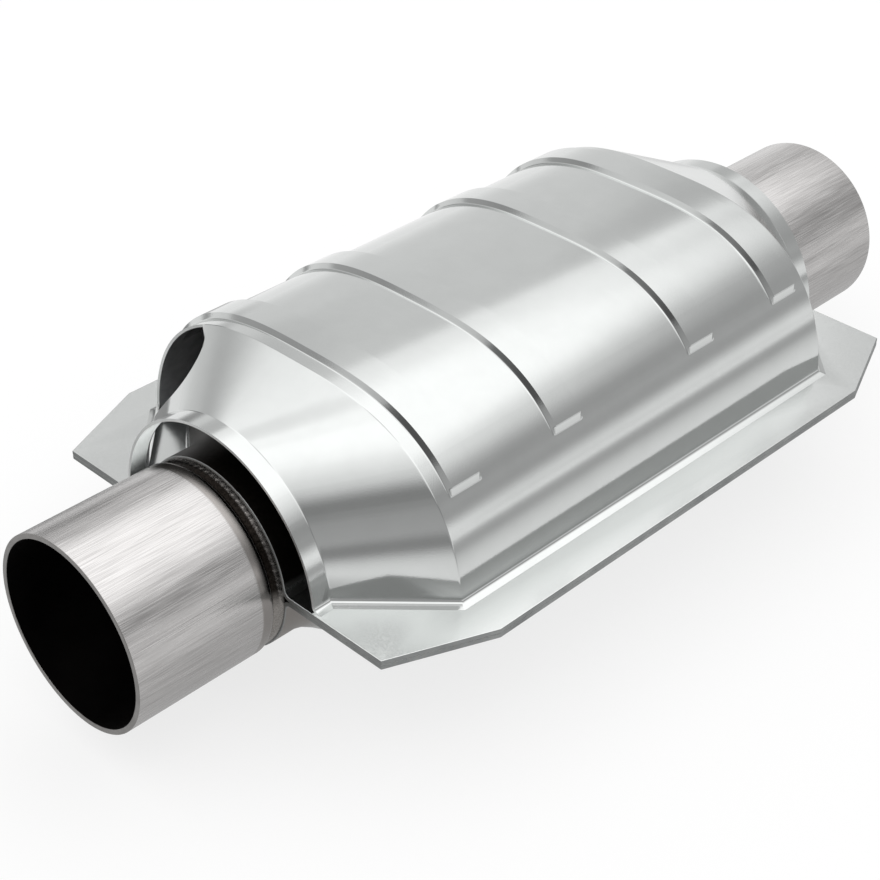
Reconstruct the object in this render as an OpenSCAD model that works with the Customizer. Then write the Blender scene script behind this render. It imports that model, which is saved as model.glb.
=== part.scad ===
// Universal catalytic converter with slip-on pipe ends, a welded clamshell body and a ribbed
// heat shield over its upper half. Millimetres. X runs along the gas path, Z is up, and the
// origin is on the ground under the middle of the lower shell.

/* [Pipes] */
// Length of the converter from one pipe mouth to the other
overall_length = 330.2; // [310:0.2:420]
// Bore of each pipe end, a slip fit over the exhaust pipe
pipe_bore = 57.5; // [50:0.5:62]
// Wall of each pipe
pipe_wall = 1.65; // [1.2:0.05:2]
// How much the pipe is drawn in, on its radius, where it enters the shell neck
pipe_tuck = 1.9; // [1.7:0.1:3]
// How far the drawn-in end reaches into the shell neck
pipe_insert = 16; // [12:1:24]
// Length of pipe between the drawn-in shoulder and the neck, filled by the weld
weld_width = 3.6; // [2.4:0.1:5]
// Running gap between the drawn-in pipe and the neck, on the radius
neck_fit = 0.15; // [0.1:0.05:0.3]
// How far the weld climbs up the cut edge of the neck
weld_height = 1; // [0.7:0.1:1.5]

/* [Half shells] */
// Length of the flat flange
flange_length = 228.6; // [222:0.2:240]
// Width of the flat flange
flange_width = 163.4; // [156:0.2:180]
// How far each flange corner is cut back along the length
corner_cut_x = 31.8; // [20:0.2:40]
// How far each flange corner is cut back across the width
corner_cut_y = 13.4; // [6:0.2:20]
// Thickness of each half shell
shell_wall = 1.53; // [1.2:0.01:1.8]
// Straight length of the round neck that holds the pipe
neck_length = 10; // [6:0.5:14]
// Inside bend between a shell wall and its flange
root_bend = 2; // [1:0.1:3]
// Depth of the pressed waist that parts the two bricks
waist_depth = 6; // [5.5:0.5:9]
// Roundness of the body section: 2 is an ellipse, more is squarer
body_square = 2.7; // [2:0.1:3.4]
// Width of the flat along the top and the belly of the body
body_flat = 22; // [8:1:30]

/* [Catalyst] */
// Length of each ceramic brick
brick_length = 63.5; // [50:0.5:66]
// Width of each brick
brick_width = 104; // [94:1:108]
// Height of each brick
brick_height = 72; // [62:1:76]
// Distance between the two bricks
brick_gap = 16; // [12:1:24]
// Thickness of the swelling mat around each brick
mat_thickness = 5; // [4:0.25:6]
// Length of the knitted wire seal at each end of a brick
seal_length = 5; // [3:0.5:8]
// Play between the mat and the shell
mat_play = 0.15; // [0.15:0.05:0.5]
// Spacing of the square channels, drawn five times coarser than the real ones
cell_pitch = 6.35; // [6:0.05:12]
// Wall between two channels
cell_wall = 1.2; // [0.8:0.1:2.4]

/* [Heat shield] */
// Thickness of the shield sheet
shield_wall = 0.9; // [0.7:0.05:1.2]
// Length of the shield from one collar rim to the other
shield_length = 226.7; // [218:0.1:228]
// Length of each half-round collar over the neck
collar_length = 5.9; // [4:0.1:8]
// Air gap between the collar and the neck
collar_gap = 10.1; // [8:0.1:12]
// Length of the straight crown
crown_length = 165; // [160:0.5:170]
// Air gap between the crown and the body at the top
crown_gap = 7.2; // [6:0.1:10]
// Air gap between the crown and the body at each side
side_gap = 7.3; // [6:0.1:10]
// Roundness of the crown section: 2 is an ellipse, more is squarer
crown_square = 3; // [2.4:0.1:3.4]
// Width of the foot that lies on the flange
foot_width = 2.6; // [2:0.1:4]
// Outside bend between the shield wall and its foot
foot_bend = 1.2; // [0.8:0.1:1.6]
// Height above the pipe axis that the open corner of the front cone reaches
vent_height = 45.1; // [40:0.1:48]
// Share of the cone that stays closed next to the collar at the open corner
vent_strip = 0.15; // [0.1:0.01:0.4]
// Height above the flange of the kerb that is left under the open corner
vent_kerb = 3; // [2.5:0.1:8]

/* [Ribs] */
// Distance from the middle of the shield to each outer rib
outer_rib_x = 71.6; // [66:0.1:74]
// Distance from the middle of the shield to each inner rib
inner_rib_x = 30.1; // [20:0.1:45]
// Width of a rib where it rises from the crown
rib_width = 12.6; // [8:0.1:16]
// Height of a rib above the crown
rib_height = 1.5; // [0.8:0.1:2.5]
// Run of the slope along each side of a rib
rib_slope = 1.3; // [0.8:0.1:2]
// Height above the pipe axis at which the ribs end
rib_end_height = 30.4; // [20:0.2:36]

/* [Hidden] */
$fn = 96;
pipe_r = pipe_bore/2 + pipe_wall;
tuck_r = pipe_r - pipe_tuck;
neck_r = tuck_r + neck_fit;
mouth_x = overall_length/2;
flange_x = flange_length/2;
shoulder_x = flange_x + weld_width;
body_x = brick_length + brick_gap/2;
body_a = brick_width/2 + mat_thickness + mat_play;
body_b = brick_height/2 + mat_thickness + mat_play;
axis_z = body_b + shell_wall;
neck_x = flange_x - neck_length;
waist_x = brick_gap/2;
waist_floor = 0.35;
collar_r = neck_r + shell_wall + collar_gap + shield_wall;
crown_a = body_a + shell_wall + side_gap + shield_wall;
crown_b = body_b + shell_wall + crown_gap + shield_wall;
crown_x = crown_length/2;
rim_x = shield_length/2;
collar_x = rim_x - collar_length;
foot_z = shell_wall;
wall_z = foot_z + shield_wall + foot_bend;
collar_rise = arch(crown_a, crown_b, crown_square, arch_angle(crown_b, wall_z))[0]
    - arch(collar_r, collar_r, 2, arch_angle(collar_r, wall_z))[0];
rib_t = arch_angle(crown_b, rib_end_height);
rib_top_t = arch_angle(crown_b, rib_end_height + rib_slope);
rib_pitch = atan(rib_height/rib_slope);
vent_t = arch_angle(crown_b, vent_height);
kerb_t = arch_angle(crown_b, foot_z + vent_kerb);
cone_steps = 5;
vent_steps = 6;
kerb_column = 1;
rib_column = 5;
vent_column = 6 + vent_steps;

function mix(a, b, k) = a + (b - a)*k;
function ease(k) = k*k*(3 - 2*k);
function flip(list) = [for (i = [len(list) - 1:-1:0]) list[i]];

// A point at angle t on an arch of half width a and height b. power 2 gives an ellipse, and
// more gives squarer shoulders. over stretches the arch beyond b, where it is then cut flat.
function arch(a, b, power, t, over = 1) = [a*pow(max(cos(t), 0), 2/power), min(b*over*sin(t), b)];

// How far an arch has to be stretched for its cut to be flat over a width
function flat_over(a, power, flat) = 1/sin(acos(pow(flat/2/a, power/2)));

// The angle at which an arch of height b is z above its base
function arch_angle(b, z) = asin(min(z/b, 1));

// A grid of quads over rows r0 to r1 and columns c0 to c1 of a skin, each cut into triangles
function quads(r0, r1, c0, c1, at, side) = [
    for (i = [r0:r1 - 1])
        for (j = [c0:c1 - 1])
            for (k = [0, 1])
                let (
                    p = at[i][j],
                    q = at[i + 1][j],
                    r = at[i + 1][j + 1],
                    s = at[i][j + 1],
                    tri = k == 0 ? [p, q, r] : [p, r, s]
                )
                side > 0 ? tri : [tri[2], tri[1], tri[0]]
];

// A band of triangles that joins one edge of the outer skin to the same edge of the inner one
function band(outer, inner, side) = [
    for (i = [0:len(outer) - 2])
        for (k = [0, 1])
            let (
                p = outer[i],
                q = outer[i + 1],
                r = inner[i + 1],
                s = inner[i],
                tri = k == 0 ? [p, q, r] : [p, r, s]
            )
            side > 0 ? tri : [tri[2], tri[1], tri[0]]
];

// Triangles without the ones that a shared vertex has closed up
function sound(tris) = [for (t = tris) if (t[0] != t[1] && t[1] != t[2] && t[2] != t[0]) t];

// Half shell: one pressed sheet with a flange all round, two necks, two cones and a waist
function shell_size(x) =
    let (
        far = abs(x),
        cone = far >= neck_x ? 0 : far <= body_x ? 1 : ease((neck_x - far)/(neck_x - body_x)),
        waist = far >= waist_x ? 0 : waist_depth
    )
    [
        mix(neck_r, body_a, cone) - waist,
        mix(neck_r, body_b, cone) - waist,
        mix(2, body_square, cone),
        mix(1, flat_over(body_a, body_square, body_flat), cone)
    ];

function flange_y(x) =
    let (cut = max(abs(x) - (flange_x - corner_cut_x), 0)/corner_cut_x)
    flange_width/2 - corner_cut_y*cut;

function shell_half(x, lift) =
    let (
        size = shell_size(x),
        a = size[0] + lift,
        b = size[1] + lift,
        bend = root_bend + shell_wall - lift,
        foot_t = arch_angle(b*size[3], lift + bend),
        foot = arch(a, b, size[2], foot_t, size[3]),
        steps = 14
    )
    concat(
        [[flange_y(x), lift], [foot[0] + bend, lift]],
        [for (k = [1:2]) let (t = 30*k) [foot[0] + bend*(1 - sin(t)), lift + bend*(1 - cos(t))]],
        [for (k = [0:steps]) arch(a, b, size[2], mix(foot_t, 90, k/steps), size[3])]
    );

function both_sides(half) = concat(half, [for (p = flip(half)) if (p[0] > 0.001) [-p[0], p[1]]]);

shell_cone_steps = 7;
shell_front = concat(
    [flange_x, neck_x],
    [for (k = [1:shell_cone_steps]) mix(neck_x, body_x, k/shell_cone_steps)],
    [waist_x, waist_x*waist_floor]
);
function by_size(list) = len(list) < 2 ? list :
    let (
        mid = list[floor(len(list)/2)],
        less = [for (v = list) if (v < mid) v],
        same = [for (v = list) if (v == mid) v],
        more = [for (v = list) if (v > mid) v]
    )
    concat(by_size(less), same, by_size(more));
shell_half_rows = by_size(concat(shell_front, [flange_x - corner_cut_x]));
shell_rows = concat([for (x = flip(shell_half_rows)) -x], shell_half_rows);

module shell_skin() {
    outer = [for (x = shell_rows) [for (p = both_sides(shell_half(x, shell_wall))) [x, p[0], p[1]]]];
    inner = [for (x = shell_rows) [for (p = both_sides(shell_half(x, 0))) [x, p[0], p[1]]]];
    rows = len(outer);
    columns = len(outer[0]);
    out_at = [for (i = [0:rows - 1]) [for (j = [0:columns - 1]) i*columns + j]];
    in_at = [for (i = [0:rows - 1]) [for (j = [0:columns - 1]) (rows + i)*columns + j]];
    polyhedron(
        points = concat([for (row = outer) each row], [for (row = inner) each row]),
        faces = concat(
            quads(0, rows - 1, 0, columns - 1, out_at, 1),
            quads(0, rows - 1, 0, columns - 1, in_at, -1),
            band(out_at[0], in_at[0], 1),
            band(out_at[rows - 1], in_at[rows - 1], -1),
            band([for (i = [0:rows - 1]) out_at[i][0]], [for (i = [0:rows - 1]) in_at[i][0]], -1),
            band(
                [for (i = [0:rows - 1]) out_at[i][columns - 1]],
                [for (i = [0:rows - 1]) in_at[i][columns - 1]],
                1
            )
        ),
        convexity = 10
    );
}

module upper_shell() {
    color([0.60, 0.59, 0.58])
        translate([0, 0, axis_z])
            shell_skin();
}

module lower_shell() {
    color([0.60, 0.59, 0.58])
        translate([0, 0, axis_z])
            mirror([0, 0, 1])
                shell_skin();
}

// Heat shield: one pressed sheet with a collar, a cone, a ribbed crown, a cone and a collar,
// standing on a narrow foot. The front cone is open at its far corner.
crown_angles = concat(
    [arch_angle(crown_b, wall_z), kerb_t],
    [for (k = [1:3]) mix(kerb_t, rib_t, k/4)],
    [rib_t, rib_top_t],
    [for (k = [1:vent_steps]) mix(rib_top_t, vent_t, sin(90*k/vent_steps))],
    [for (k = [1:6]) mix(vent_t, 90, k/6)]
);
collar_angles = concat(
    [arch_angle(collar_r, wall_z)],
    [for (j = [1:len(crown_angles) - 1]) crown_angles[j]]
);

// How far along the cone, from its collar to the crown, the sheet reaches at column j
function vent_share(j) =
    let (turn = max(crown_angles[j] - rib_t, 0)/(vent_t - rib_t))
    1 - (1 - vent_strip)*pow(1 - pow(min(turn, 1), 3), 1/3);

// Rows of the shield from front to back: [x, share of the way from collar to crown, rib
// height, which way the rib rises]
rib_edges = [
    [-rib_width/2, 0, 1],
    [-rib_width/2 + rib_slope, rib_height, 1],
    [rib_width/2 - rib_slope, rib_height, -1],
    [rib_width/2, 0, -1]
];
rib_rows = [
    for (x = [-outer_rib_x, -inner_rib_x, inner_rib_x, outer_rib_x])
        for (edge = rib_edges)
            [x + edge[0], 1, edge[1], edge[2]]
];
shield_rows = concat(
    [[-rim_x, 0, 0, 0]],
    [for (k = [0:cone_steps]) [mix(-collar_x, -crown_x, k/cone_steps), k/cone_steps, 0, 0]],
    [[-crown_x, 1, 0, 0]],
    rib_rows,
    [for (k = [cone_steps:-1:0]) [mix(collar_x, crown_x, k/cone_steps), k/cone_steps, 0, 0]],
    [[rim_x, 0, 0, 0]]
);
vent_row = 1 + cone_steps;
columns_half = len(crown_angles);

// A point of the shield's wall: row i, column j, on the side -1 or 1, lift in from its outside
function shield_wall_point(i, j, side, lift) =
    let (
        row = shield_rows[i],
        way = sign(row[0]),
        open = side > 0 && i > 0 && i <= vent_row && j < vent_column,
        reach = !open ? 1 : j < kerb_column ? vent_strip : vent_share(j),
        share = row[1]*reach,
        rib = j > rib_column ? row[2] : 0,
        collar = arch(collar_r, collar_r, 2, collar_angles[j]),
        crown = arch(crown_a, crown_b, crown_square, crown_angles[j]),
        collar_in = arch(collar_r - lift, collar_r - lift, 2, collar_angles[j]),
        crown_in = arch(crown_a - lift + rib, crown_b - lift + rib, crown_square, crown_angles[j]),
        rise = norm(crown - collar),
        slope = atan(rise/(collar_x - crown_x)),
        creased = abs(row[0]) >= crown_x - 0.001 && abs(row[0]) <= collar_x + 0.001,
        shift = creased ? -way*lift*tan(slope/2) : row[3]*lift*tan(rib_pitch/2)
    )
    [
        (open ? mix(-collar_x, -crown_x, share) : row[0]) + shift,
        side*mix(collar_in[0], crown_in[0], share),
        j == 0 ? wall_z : mix(collar_in[1], crown_in[1], share)
    ];

// The points of the foot at row i, from its edge to the start of the wall
function shield_foot(i, side, lift) =
    let (
        row = shield_rows[i],
        wall = shield_wall_point(i, 0, side, 0),
        creased = abs(row[0]) >= crown_x - 0.001 && abs(row[0]) <= collar_x + 0.001,
        rise = collar_rise,
        lead = creased ? sign(row[0])*tan(atan(rise/(collar_x - crown_x))/2) : 0,
        bend = foot_bend + lift
    )
    [
        for (out = [[foot_width, 0], [foot_bend, 0], [foot_bend - bend*sin(45), bend*(1 - cos(45))]])
            [
                wall[0] + lead*out[0],
                wall[1] + side*out[0],
                foot_z + shield_wall - lift + out[1]
            ]
    ];

function shield_row(i, lift) = concat(
    shield_foot(i, 1, lift),
    [for (j = [0:columns_half - 1]) shield_wall_point(i, j, 1, lift)],
    [for (j = [columns_half - 2:-1:0]) shield_wall_point(i, j, -1, lift)],
    flip(shield_foot(i, -1, lift))
);

// The open corner leaves out the quads between the cone's last row and the crown's first
// one, from the kerb up to the top of the opening. Above that both rows share their points.
module heat_shield() {
    rows = len(shield_rows);
    columns = 2*columns_half + 5;
    last = columns - 1;
    kerb = 3 + kerb_column;
    top = 3 + vent_column;
    outer = [for (i = [0:rows - 1]) shield_row(i, 0)];
    inner = [for (i = [0:rows - 1]) shield_row(i, shield_wall)];
    out_at = [
        for (i = [0:rows - 1])
            [for (j = [0:last]) (i == vent_row && j >= top ? i + 1 : i)*columns + j]
    ];
    in_at = [for (row = out_at) [for (v = row) v + rows*columns]];
    vent_cone = [for (j = [kerb:top]) out_at[vent_row][j]];
    vent_crown = [for (j = [kerb:top]) out_at[vent_row + 1][j]];
    hole = concat(vent_cone, flip(vent_crown), [vent_cone[0]]);
    hole_in = [for (v = hole) v + rows*columns];
    near = [for (i = [0:rows - 1]) out_at[i][0]];
    far = [for (i = [0:rows - 1]) out_at[i][last]];
    color([0.80, 0.81, 0.81])
        translate([0, 0, axis_z])
            polyhedron(
                points = concat([for (row = outer) each row], [for (row = inner) each row]),
                faces = sound(concat(
                    quads(0, vent_row, 0, last, out_at, 1),
                    quads(vent_row, vent_row + 1, 0, kerb, out_at, 1),
                    quads(vent_row + 1, rows - 1, 0, last, out_at, 1),
                    quads(0, vent_row, 0, last, in_at, -1),
                    quads(vent_row, vent_row + 1, 0, kerb, in_at, -1),
                    quads(vent_row + 1, rows - 1, 0, last, in_at, -1),
                    band(out_at[0], in_at[0], 1),
                    band(out_at[rows - 1], in_at[rows - 1], -1),
                    band(near, [for (v = near) v + rows*columns], -1),
                    band(far, [for (v = far) v + rows*columns], 1),
                    band(hole, hole_in, -1)
                )),
                convexity = 10
            );
}

// Pipe: a tube drawn in at one end to enter the neck
module pipe(way) {
    color([0.66, 0.64, 0.62])
        translate([0, 0, axis_z])
            rotate([0, way*90, 0])
                rotate_extrude()
                    pipe_section();
}

module pipe_section() {
    inner_x = flange_x - pipe_insert;
    arc_steps = 8;
    polygon(concat(
        [[pipe_r - pipe_wall, mouth_x], [pipe_r, mouth_x]],
        [
            for (k = [0:arc_steps])
                let (t = 90*k/arc_steps)
                [tuck_r + pipe_tuck*cos(t), shoulder_x + pipe_tuck*(1 - sin(t))]
        ],
        [[tuck_r, inner_x], [tuck_r - pipe_wall, inner_x]],
        [[tuck_r - pipe_wall, shoulder_x], [pipe_r - pipe_wall, shoulder_x + pipe_tuck + pipe_wall]]
    ));
}

module inlet_pipe() {
    pipe(-1);
}

module outlet_pipe() {
    pipe(1);
}

// Weld: a fillet that fills the groove between the pipe's shoulder and the neck
module weld(way) {
    color([0.30, 0.28, 0.27])
        translate([0, 0, axis_z])
            rotate([0, way*90, 0])
                rotate_extrude()
                    weld_section();
}

module weld_section() {
    throat = neck_fit + weld_height;
    arc_steps = 6;
    polygon(concat(
        [[tuck_r, flange_x], [tuck_r, shoulder_x]],
        [
            for (k = [1:arc_steps])
                let (t = 90*k/arc_steps)
                [tuck_r + throat*(1 - cos(t)), shoulder_x - weld_width*sin(t)]
        ]
    ));
}

module inlet_weld() {
    weld(-1);
}

module outlet_weld() {
    weld(1);
}

// Outline of an oval of the body's shape, as seen along the gas path
module oval(width, height) {
    steps = 64;
    polygon([
        for (k = [0:steps - 1])
            let (
                t = 360*k/steps,
                over = flat_over(width/2, body_square, body_flat),
                corner = arch(width/2, height/2, body_square, asin(abs(sin(t))), over)
            )
            [sign(cos(t))*corner[0], sign(sin(t))*corner[1]]
    ]);
}

// A length of an oval section, from start and on along the gas path
module along(start, length) {
    translate([start, 0, axis_z])
        rotate([90, 0, 90])
            linear_extrude(length)
                children();
}

// Brick: a ceramic block with square channels that run right through
module brick(start) {
    cells_y = floor(brick_width/2/cell_pitch);
    cells_z = floor(brick_height/2/cell_pitch);
    color([0.80, 0.77, 0.70])
        along(start, brick_length)
            difference() {
                oval(brick_width, brick_height);
                for (v = [-cells_z:cells_z], u = [-cells_y:cells_y])
                    if (cell_fits(abs(u)*cell_pitch, abs(v)*cell_pitch))
                        translate([u*cell_pitch, v*cell_pitch])
                            square(cell_pitch - cell_wall, center = true);
            }
}

// Whether the channel centred at y, z lies inside the brick with its walls
function cell_fits(y, z) =
    let (
        corner = [y, z] + [cell_pitch, cell_pitch]/2,
        level = corner[1]/(brick_height/2),
        over = flat_over(brick_width/2, body_square, body_flat)
    )
    level < 1 && corner[0] < brick_width/2*pow(cos(asin(level/over)), 2/body_square);

module front_brick() {
    brick(-body_x);
}

module rear_brick() {
    brick(brick_gap/2);
}

// Mat: a swelling blanket wrapped round a brick between its two seals
module wrap(start, length) {
    along(start, length)
        difference() {
            oval(brick_width + 2*mat_thickness, brick_height + 2*mat_thickness);
            oval(brick_width, brick_height);
        }
}

module front_mat() {
    color([0.86, 0.84, 0.78])
        wrap(seal_length - body_x, brick_length - 2*seal_length);
}

module rear_mat() {
    color([0.86, 0.84, 0.78])
        wrap(brick_gap/2 + seal_length, brick_length - 2*seal_length);
}

// Seal: a ring of knitted wire that keeps the gas off the mat's edge
module seal(start) {
    color([0.45, 0.45, 0.46])
        wrap(start, seal_length);
}

module front_brick_inlet_seal() {
    seal(-body_x);
}

module front_brick_outlet_seal() {
    seal(-brick_gap/2 - seal_length);
}

module rear_brick_inlet_seal() {
    seal(brick_gap/2);
}

module rear_brick_outlet_seal() {
    seal(body_x - seal_length);
}

upper_shell();
lower_shell();
heat_shield();
inlet_pipe();
outlet_pipe();
inlet_weld();
outlet_weld();
front_brick();
rear_brick();
front_mat();
rear_mat();
front_brick_inlet_seal();
front_brick_outlet_seal();
rear_brick_inlet_seal();
rear_brick_outlet_seal();
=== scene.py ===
"""A universal catalytic converter: two welded half shells, a ribbed heat shield and two pipe ends.

The frame's CAD nodes give every place and size. Each section below makes one piece, or a group
of like pieces, and lengths in millimetres are turned to metres with MM.
"""

import math

import bmesh
import bpy
import numpy as np
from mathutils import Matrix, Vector


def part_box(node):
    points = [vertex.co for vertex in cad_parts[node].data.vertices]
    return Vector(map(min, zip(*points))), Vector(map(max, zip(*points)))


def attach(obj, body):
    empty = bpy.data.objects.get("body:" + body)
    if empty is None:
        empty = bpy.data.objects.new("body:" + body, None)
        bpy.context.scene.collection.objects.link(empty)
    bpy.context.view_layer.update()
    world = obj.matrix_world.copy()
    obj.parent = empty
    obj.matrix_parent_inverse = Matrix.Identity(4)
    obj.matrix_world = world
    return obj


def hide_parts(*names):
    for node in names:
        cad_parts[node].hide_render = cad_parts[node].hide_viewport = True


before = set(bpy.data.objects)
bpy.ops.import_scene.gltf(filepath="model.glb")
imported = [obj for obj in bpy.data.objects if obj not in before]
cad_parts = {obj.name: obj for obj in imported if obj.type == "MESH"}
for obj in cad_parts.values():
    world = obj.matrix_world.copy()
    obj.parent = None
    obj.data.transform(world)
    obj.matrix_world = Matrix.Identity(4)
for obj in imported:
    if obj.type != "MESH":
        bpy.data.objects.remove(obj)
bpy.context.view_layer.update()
scene = bpy.context.scene

# Camera
# A short telephoto view from the inlet side and above. The converter runs from the near left
# to the far right of the picture.
MM = 0.001
SENSOR_WIDTH = 36.0
FOCAL_PIXELS = 1890.62
PICTURE_PIXELS = 880
CAMERA_PLACE = (-0.36905, -0.34429, 0.33348)
CAMERA_AZIMUTH = -45.08
CAMERA_ELEVATION = 34.81

pipe_low, pipe_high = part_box("inlet_pipe")
AXIS_Z = (pipe_low.z + pipe_high.z) / 2

camera_data = bpy.data.cameras.new("camera")
camera_data.sensor_width = SENSOR_WIDTH
camera_data.lens = FOCAL_PIXELS / PICTURE_PIXELS * SENSOR_WIDTH
camera_data.clip_start = 0.01
camera = bpy.data.objects.new("camera", camera_data)
scene.collection.objects.link(camera)
camera.location = Vector(CAMERA_PLACE) + Vector((0, 0, AXIS_Z))
azimuth, elevation = math.radians(CAMERA_AZIMUTH), math.radians(CAMERA_ELEVATION)
camera_back = Vector((
    math.sin(azimuth) * math.cos(elevation),
    -math.cos(azimuth) * math.cos(elevation),
    math.sin(elevation),
))
camera.rotation_mode = "QUATERNION"
camera.rotation_quaternion = camera_back.to_track_quat("Z", "Y")
scene.camera = camera


# Heat shield
# One pressed sheet of aluminised steel over the upper half shell. It has a half-round collar and
# a cone at each end, a crown with four raised ribs, and a narrow foot that lies on the flange.
# The front cone is open at its far corner, where the inside of the sheet shows.
SHEET = 0.9
FOOT_WIDTH = 2.6
FOOT_BEND = 1.2
FOOT_PROFILE = ((2.6, 0.02), (1.6, 0.3), (1.0, 0.49), (0.62, 0.67), (0.3, 1.02), (0.1, 1.47))
MITRE_START = 5.0
MITRE_RUN = 4.0
MITRE_STOP = 1.2
COLLAR_LENGTH = 5.9
CROWN_HALF = 82.5
CROWN_SQUARE = 3.0
RIB_PLACES = (-71.6, -30.1, 30.1, 71.6)
RIB_WIDTH = 12.6
RIB_HEIGHT = 1.5
RIB_SLOPE = 1.1
RIB_END = 30.4
RIB_END_SLOPE = 1.8
VENT_TOP = 45.1
VENT_STRIP = 0.15
VENT_KERB = 3.0
VENT_LOW = 28.0
VENT_BULGE = 0.06
VENT_BULGE_AT = 0.25
CREASE = 0.16
SHARP_TURN = 40

shield_low, shield_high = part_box("heat_shield")
FOOT_Z = (shield_low.z - AXIS_Z) / MM
RIM_X = shield_high.x / MM
CROWN_B = (shield_high.z - AXIS_Z) / MM - RIB_HEIGHT
COLLAR_X = RIM_X - COLLAR_LENGTH
COLLAR_R = 41.18
WALL_Z = FOOT_Z + SHEET + FOOT_BEND
CROWN_A = (shield_high.y / MM - FOOT_WIDTH) / math.cos(math.asin(WALL_Z / CROWN_B)) ** (2 / 3)


def ramp(u, crease=0.0):
    """A line that starts to rise at u = 0, with its corner rounded over crease each way."""
    u = np.asarray(u, float)
    if crease == 0.0:
        return np.maximum(u, 0.0)
    rounded = (u + crease) ** 2 / (4 * crease)
    return np.where(u <= -crease, 0.0, np.where(u >= crease, u, rounded))


def cone_share(x):
    """How far a station is on its way from the collar, 0, to the crown, 1."""
    run = COLLAR_X - CROWN_HALF
    far = np.abs(x)
    return 1 - (ramp(far - CROWN_HALF, CREASE) - ramp(far - COLLAR_X, CREASE)) / run


def rib_rise(x, z):
    """Height of a rib above the crown at a station x and at a height z above the pipe axis."""
    rise = 0.0
    for place in RIB_PLACES:
        start, stop = place - RIB_WIDTH / 2, place + RIB_WIDTH / 2
        front = ramp(x - start, CREASE) - ramp(x - start - RIB_SLOPE)
        rear = ramp(x - stop + RIB_SLOPE) - ramp(x - stop)
        rise = rise + (front - rear) / RIB_SLOPE
    end = (ramp(z - RIB_END) - ramp(z - RIB_END - RIB_END_SLOPE)) / RIB_END_SLOPE
    return RIB_HEIGHT * rise * end


def arch(half_width, height, square, t):
    """A point at angle t of an arch: across, and up from the pipe axis."""
    return half_width * np.cos(t) ** (2 / square), height * np.sin(t)


def wall_point(x, t_collar, t_crown):
    """The shield's outside at a station x, between the collar's and the crown's arch."""
    share = cone_share(x)
    collar_y, collar_z = arch(COLLAR_R, COLLAR_R, 2, t_collar)
    rise = rib_rise(x, CROWN_B * np.sin(t_crown))
    crown_y, crown_z = arch(CROWN_A + rise, CROWN_B + rise, CROWN_SQUARE, t_crown)
    y = collar_y + share * (crown_y - collar_y)
    z = collar_z + share * (crown_z - collar_z)
    return y, z


def stations(edges, crease, coarse):
    """Stations along X: close together round each rounded edge and wide apart elsewhere."""
    marks = set()
    for edge in edges:
        for step in (-crease - 0.25, -crease, -crease / 2, 0.0, crease / 2, crease, crease + 0.25):
            if min(edges) <= edge + step <= max(edges):
                marks.add(round(edge + step, 4))
    marks = sorted(marks)
    found = [marks[0]]
    for low, high in zip(marks, marks[1:]):
        count = max(1, int(math.ceil((high - low) / coarse)))
        found += list(np.linspace(low, high, count + 1)[1:])
    return np.array(found)


def crown_angle(z):
    """The crown arch's angle at a height z above the pipe axis."""
    return math.asin(z / CROWN_B)


def shield_columns():
    """Angle pairs (collar, crown) up one side, from the wall's foot to the ridge, and the
    columns where the open corner starts and ends."""
    kerb = crown_angle(FOOT_Z + VENT_KERB)
    vent = crown_angle(VENT_TOP)
    rib_levels = stations([RIB_END - 1.0, RIB_END, RIB_END + RIB_END_SLOPE, VENT_TOP - 6.0],
                          0.0, 1.5)
    rib = [crown_angle(z) for z in rib_levels]
    crown = list(np.linspace(kerb, rib[0], 16))[:-1] + rib
    crown += list(rib[-1] + (vent - rib[-1]) * np.sin(np.linspace(0, math.pi / 2, 15)))[1:]
    last = len(crown)
    crown += list(np.linspace(vent, math.pi / 2, 18)[1:])
    foot = (math.asin(WALL_Z / COLLAR_R), math.asin(WALL_Z / CROWN_B))
    return [foot] + [(t, t) for t in crown], 1, last


def vent_reach(t):
    """Share of the cone that is left at the open corner, at angle t."""
    low, high = crown_angle(VENT_LOW), crown_angle(VENT_TOP)
    turn = min(max((t - low) / (high - low), 0.0), 1.0)
    return 1 - (1 - VENT_STRIP) * (1 - turn ** 3) ** (1 / 3)


def vent_bulge(t, x):
    """How far the open corner's edge swings towards the ridge, at angle t and a station x."""
    low, high = crown_angle(VENT_LOW), crown_angle(VENT_TOP)
    down = (-CROWN_HALF - x) / (COLLAR_X - CROWN_HALF) / VENT_BULGE_AT
    rise = (t - low) / (high - low)
    fall = (math.pi / 2 - t) / (math.pi / 2 - high)
    return VENT_BULGE * down * math.exp(1 - down) * max(min(rise, fall, 1.0), 0.0)


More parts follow.
